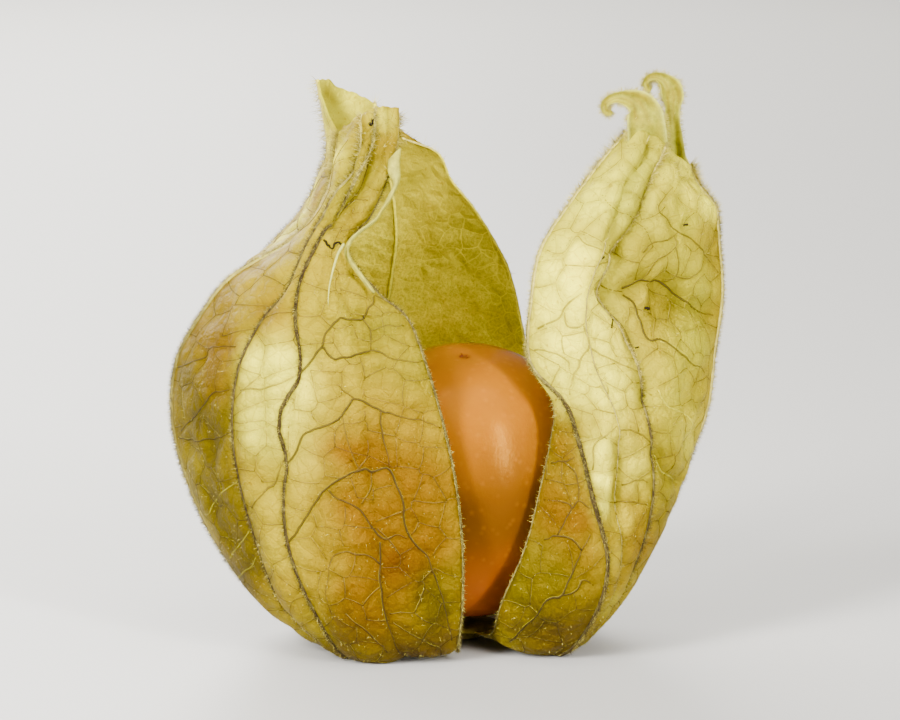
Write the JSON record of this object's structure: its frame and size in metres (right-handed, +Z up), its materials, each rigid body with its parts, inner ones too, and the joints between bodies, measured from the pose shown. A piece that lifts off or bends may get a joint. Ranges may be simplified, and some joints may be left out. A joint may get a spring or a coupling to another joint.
{
  "type": "physalis berry in its husk",
  "caption": "Orange physalis berry standing in its dry papery husk, which is torn open from the curled tips down to the stalk.",
  "frame": {"origin": "on the surface that the husk stands on, under the middle of the husk", "axes": "+Z up, -Y towards the viewer of the picture, where the husk is torn open, +X to their right"},
  "size_m": [0.0366, 0.0218, 0.0374],
  "materials": {
    "berry": "smooth waxy skin with a soft shine",
    "husk": "dry, papery, translucent, with a raised net of veins"
  },
  "bodies": {
    "root": {"berry": "berry", "husk": "husk"}
  },
  "joints": []
}
